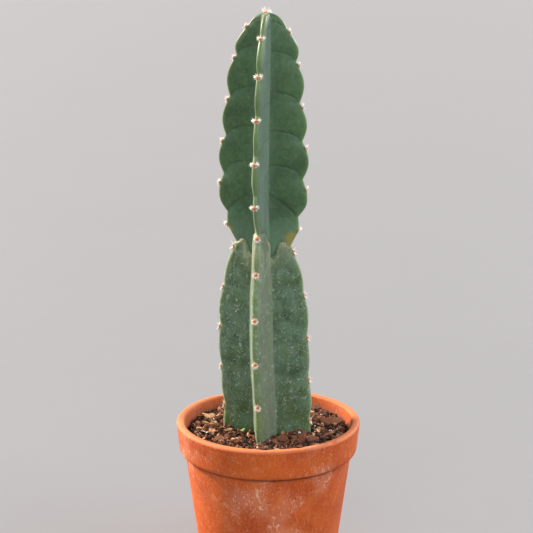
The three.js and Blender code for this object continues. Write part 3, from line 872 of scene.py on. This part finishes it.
def seat_on_crest(rib_name, z):
    """The frame of an areole's seat, square to the crest's own slope."""
    step = 1.2 * MM
    upwards = (crest_point(rib_name, z + step) - crest_point(rib_name, z - step)).normalized()
    sideways = -rib_frame(rib_name)[1]
    normal = sideways.cross(upwards).normalized()
    if normal.dot(rib_frame(rib_name)[0]) < 0:
        sideways = -sideways
        normal = -normal
    sideways = upwards.cross(normal)
    seat = Matrix((sideways, upwards, normal)).transposed().to_4x4()
    seat.translation = crest_point(rib_name, z)
    return seat


for rib_name in RIBS:
    for node_name, z in AREOLES[rib_name]:
        lobes, spines = (NEW_LOBES, NEW_SPINES) if z > waist_height(rib_name) else (OLD_LOBES, OLD_SPINES)
        size = 0.9 if z > 385 * MM else 1.0
        bm = areole_mesh(seat_on_crest(rib_name, z), size, lobes, spines)
        new_piece(f"{node_name}_wool", bm, wool_material, [node_name])

CROWN_LOBES = [(0, 32, 80, 2.8 * MM)]
CROWN_SPINES = [
    (14, 150, 4.6 * MM, 0.2 * MM),
    (24, 20, 3.9 * MM, 0.2 * MM),
    (38, 185, 4.0 * MM, 0.2 * MM),
    (34, 340, 3.8 * MM, 0.2 * MM),
    (8, 270, 4.6 * MM, 0.2 * MM),
    (55, 190, 3.2 * MM, 0.2 * MM),
]
crown_seat = Matrix.Translation((along(LEAN, stem_top, 1) - 0.6 * MM, 0, stem_top - 0.4 * MM))
crown_bm = areole_mesh(crown_seat, 1.25, CROWN_LOBES, CROWN_SPINES)
new_piece("crown_wool", crown_bm, wool_material, ["crown_tuft"])

# ---- Potting soil -------------------------------------------------------------------------------
# A loose mix of dark crumbs, broken bark, fibres and perlite that fills the pot. The packed soil is
# one solid, and its loose top is laid over it in separate bits.


def soil_height(x, y):
    """Height of the soil's own surface: low lumps, a little higher against the wall."""
    x, y = x / MM, y / MM
    lumps = math.sin(x * 0.21 + 1.1) * math.cos(y * 0.19) + 0.5 * math.sin(x * 0.43 - y * 0.37 + 0.6)
    return SOIL_TOP + (0.9 * lumps + 1.6 * (math.hypot(x, y) / 60) ** 4) * MM


def in_stem(x, y, margin):
    """True where the stem comes out of the soil, or within a margin of it."""
    offset = Vector((x - along(LEAN, SOIL_TOP, 1), y, 0))
    half = along(OUTLINE, SOIL_TOP, 3)
    valley = along(OUTLINE, SOIL_TOP, 2) * math.sqrt(0.5)
    for rib_name in RIBS:
        outwards, sideways = rib_frame(rib_name)
        out, across = offset.dot(outwards), abs(offset.dot(sideways))
        reach = crest_reach(rib_name, SOIL_TOP)
        shoulder = reach - half
        share = min(1.0, max(0.0, (out - valley) / (shoulder - valley)))
        if -margin < out < reach + margin and across < valley + (half - valley) * share + margin:
            return True
    return False


CHIP_BOXES = [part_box(name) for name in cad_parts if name.startswith("bark_chip_")]


def on_chip(x, y, margin):
    """True over one of the large chips, apart from a margin round its box."""
    for low, high in CHIP_BOXES:
        if low.x + margin < x < high.x - margin and low.y + margin < y < high.y - margin:
            return True
    return False


def scattered(rng, count, size, clear):
    """Places on the soil for loose bits of about this size, off the stem, the wall and the large chips."""
    wall = bore_radius(SOIL_TOP) - 0.3 * MM
    places = []
    while len(places) < count:
        radius = wall * math.sqrt(rng.random())
        angle = rng.uniform(0, math.tau)
        x, y = radius * math.cos(angle), radius * math.sin(angle)
        if radius + size / 2 < wall and not in_stem(x, y, clear) and not on_chip(x, y, 1.2 * MM):
            places.append((x, y))
    return places


def loose_turn(rng, x, y, lift, steepness):
    """A bit's place and random tilt on the soil."""
    tilt = Matrix.Rotation(rng.gauss(0, steepness), 4, "X")
    tilt = tilt @ Matrix.Rotation(rng.gauss(0, steepness), 4, "Y")
    spin = Matrix.Rotation(rng.uniform(0, math.tau), 4, "Z")
    return Matrix.Translation((x, y, soil_height(x, y) + lift)) @ tilt @ spin


BITS_AT_ONCE = 60


def gathered(places, make_bit):
    """Loose bits in one mesh, made a few at a time, as an operator slows down in a full mesh."""
    whole = bmesh.new()
    for first in range(0, len(places), BITS_AT_ONCE):
        few = bmesh.new()
        tone = few.verts.layers.float.new("tone")
        for x, y in places[first : first + BITS_AT_ONCE]:
            make_bit(few, tone, x, y)
        bmesh.ops.recalc_face_normals(few, faces=few.faces)
        scrap = bpy.data.meshes.new("scrap")
        few.to_mesh(scrap)
        few.free()
        whole.from_mesh(scrap)
        bpy.data.meshes.remove(scrap)
    return whole


def crumb_mesh():
    """Small round crumbs of peat."""
    rng = random.Random(7)

    def crumb(bm, tone, x, y):
        radius = rng.choice((0.45, 0.6, 0.8, 1.1)) * MM
        size = Matrix.Diagonal((rng.uniform(0.8, 1.5), rng.uniform(0.7, 1.2), rng.uniform(0.6, 1.0), 1))
        matrix = loose_turn(rng, x, y, rng.uniform(0, 1.1) * MM, 0.5) @ size
        shade = rng.random()
        for vert in bmesh.ops.create_icosphere(bm, subdivisions=1, radius=radius, matrix=matrix)["verts"]:
            vert.co += Vector([rng.uniform(-0.2, 0.2) * radius for _ in range(3)])
            vert[tone] = shade

    return gathered(scattered(rng, 4200, 1.5 * MM, 0.3 * MM), crumb)


def shard(bm, tone, rng, matrix, length, width, thickness, shade):
    """A broken flake of bark: a ragged outline drawn up into a thin plate with worn edges."""
    made = bmesh.ops.create_circle(bm, cap_ends=True, segments=rng.choice((5, 6, 7)), radius=0.5)["verts"]
    for vert in made:
        vert.co.x *= length * rng.uniform(0.7, 1.12)
        vert.co.y *= width * rng.uniform(0.66, 1.18)
        vert.co.z = rng.uniform(-0.16, 0.16) * thickness
    raised = bmesh.ops.extrude_face_region(bm, geom=[made[0].link_faces[0]])["geom"]
    top = [item for item in raised if isinstance(item, bmesh.types.BMVert)]
    for vert in top:
        vert.co.x *= rng.uniform(0.74, 0.98)
        vert.co.y *= rng.uniform(0.68, 0.98)
        vert.co.z += thickness * rng.uniform(0.7, 1.25)
    whole = {vert for item in top for edge in item.link_edges for vert in edge.verts}
    for vert in whole:
        vert[tone] = shade
    bmesh.ops.transform(bm, matrix=matrix, verts=list(whole))


# Flakes of bark: length in millimetres, how many, and how high above the soil they lie.
FLAKES = [(3.0, 1000, 0.6), (5.0, 640, 1.1), (7.4, 240, 1.6)]
BARK_SHADES = (0.0, 0.1, 0.2, 0.35, 0.5, 0.55, 0.74, 0.98)
BARK_SHARES = (6, 6, 6, 7, 8, 6, 4, 2)


def bark_meshes():
    """The flakes of bark, one mesh for each size."""
    for length, count, lift in FLAKES:
        rng = random.Random(19 + count)

        def flake(bm, tone, x, y):
            matrix = loose_turn(rng, x, y, (lift + rng.uniform(-0.4, 1.0)) * MM, 0.48)
            long = length * rng.uniform(0.7, 1.3) * MM
            wide = long * rng.uniform(0.35, 0.8)
            shade = rng.choices(BARK_SHADES, BARK_SHARES)[0]
            shard(bm, tone, rng, matrix, long, wide, rng.uniform(0.6, 1.3) * MM, shade)

        yield gathered(scattered(rng, count, length * MM, 0.8 * MM), flake)


def fibre_mesh():
    """Thin broken fibres that lie on top."""
    rng = random.Random(23)

    def fibre(bm, tone, x, y):
        lying = Matrix.Rotation(math.pi / 2, 4, "Y")
        matrix = loose_turn(rng, x, y, rng.uniform(1.0, 2.4) * MM, 0.3) @ lying
        shade = rng.uniform(0.3, 0.9)
        thick, long = rng.uniform(0.16, 0.34) * MM, rng.uniform(2.5, 6.5) * MM
        made = bmesh.ops.create_cone(
            bm, cap_ends=True, segments=4, radius1=thick, radius2=0.1 * MM, depth=long, matrix=matrix
        )
        for vert in made["verts"]:
            vert[tone] = shade

    return gathered(scattered(rng, 520, 5 * MM, 0.8 * MM), fibre)


def perlite_mesh():
    """Knobbly white grains."""
    rng = random.Random(31)

    def grain(bm, tone, x, y):
        radius = rng.choice((0.5, 0.7, 0.9, 1.2)) * MM
        matrix = loose_turn(rng, x, y, rng.uniform(1.0, 2.0) * MM, 0.5)
        shade = rng.random()
        for vert in bmesh.ops.create_icosphere(bm, subdivisions=2, radius=radius, matrix=matrix)["verts"]:
            lump = noise.noise(vert.co * 1300) * 0.5 * radius
            vert.co += (vert.co - matrix.translation).normalized() * lump
            vert[tone] = shade

    return gathered(scattered(rng, 42, 2.5 * MM, 1 * MM), grain)


def litter_material(name, dark, middle, light, roughness):
    """Plant litter: its stored tone picks between three shades, with grain and dust over it."""
    material, tree, shader, place = new_material(name)
    tone = add_node(tree, "ShaderNodeAttribute", attribute_name="tone").outputs["Fac"]
    grain = placed_group(tree, MOTTLING, place, 330.0, 5.0)
    tone = maths(tree, "ADD", tone, between(tree, grain, 0.3, 0.7, -0.16, 0.16))
    lower = mixed(tree, between(tree, tone, 0.0, 0.5), dark, middle)
    colour = mixed(tree, between(tree, tone, 0.62, 1.0), lower, light)
    tree.links.new(colour, shader.inputs["Base Color"])
    tree.links.new(between(tree, grain, 0.3, 0.7, roughness, roughness + 0.12), shader.inputs["Roughness"])
    shader.inputs["Specular IOR Level"].default_value = 0.3
    bumped(tree, shader, grain, 0.7, 0.3 * MM)
    return material


# The soil's browns are peat's own dark colour, darkened further as painted shade for the gaps between the
# loose bits.
soil_material = litter_material(
    "soil", painted(22, 14, 10), painted(44, 28, 20), painted(78, 52, 38), 0.9
)
bark_material = litter_material(
    "bark", painted(34, 20, 14), painted(122, 76, 54), painted(216, 172, 126), 0.8
)
perlite_material = litter_material(
    "perlite", painted(214, 204, 190), painted(238, 232, 222), painted(247, 243, 236), 0.85
)

for material_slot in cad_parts["potting_soil"].material_slots:
    material_slot.material = soil_material
new_piece("soil_crumbs", crumb_mesh(), soil_material, smooth=False)
for number, flakes in enumerate(bark_meshes(), start=1):
    new_piece(f"bark_litter_{number}", flakes, bark_material, smooth=False)
new_piece("soil_fibres", fibre_mesh(), bark_material, smooth=False)
new_piece("perlite_litter", perlite_mesh(), perlite_material)

# ---- Large bark chips, perlite grains and leaf scrap --------------------------------------------
# The biggest loose pieces lie where the frame has them: broken pine bark in ragged layers, knobbly
# perlite, and a scrap of pale leaf.


def worn_copy(node_name, cuts, depth, scale, shade, layer=None):
    """A copy of a node's mesh, merged, cut finer and worn by noise; bark splits into thin layers."""
    bm = bmesh.new()
    bm.from_mesh(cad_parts[node_name].data)
    bmesh.ops.remove_doubles(bm, verts=bm.verts, dist=0.01 * MM)
    bmesh.ops.triangulate(bm, faces=bm.faces)
    broad_side = max(bm.faces, key=lambda face: face.calc_area()).normal.copy()
    bmesh.ops.subdivide_edges(bm, edges=bm.edges, cuts=cuts, use_grid_fill=True)
    tone = bm.verts.layers.float.new("tone")
    low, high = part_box(node_name)
    centre = (low + high) / 2
    for vert in bm.verts:
        offset = vert.co - centre
        wear = noise.noise(vert.co * scale) + 0.5 * noise.noise(vert.co * scale * 2.7)
        if layer:
            # Each layer of the bark breaks off at its own ragged line.
            through = broad_side * offset.dot(broad_side)
            flat = offset - through
            number = math.floor(through.dot(broad_side) / layer)
            ragged = noise.noise(flat.normalized() * 2.5 + Vector((0, 0, number * 3.7)))
            offset = through * 0.9 + flat * (0.93 + 0.12 * ragged)
        vert.co = centre + offset + offset.normalized() * wear * depth
        vert[tone] = shade + 0.12 * wear
    return bm


CHIP_SHADES = (0.5, 0.42, 0.3, 0.5, 0.46, 0.44, 0.9, 0.35, 0.42)
for number, shade in enumerate(CHIP_SHADES, start=1):
    node_name = f"bark_chip_{number}"
    bm = worn_copy(node_name, 9, 0.45 * MM, 330, shade, layer=0.55 * MM)
    new_piece(f"{node_name}_rough", bm, bark_material, [node_name], smooth=False)
for number in (1, 2, 3):
    node_name = f"perlite_grain_{number}"
    bm = worn_copy(node_name, 3, 0.4 * MM, 800, 0.6)
    new_piece(f"{node_name}_rough", bm, perlite_material, [node_name])
leaf_material = litter_material(
    "leaf", painted(70, 104, 56), painted(116, 148, 90), painted(160, 184, 128), 0.6
)
leaf_bm = worn_copy("leaf_scrap", 2, 0.12 * MM, 600, 0.5)
new_piece("leaf_scrap_fine", leaf_bm, leaf_material, ["leaf_scrap"])
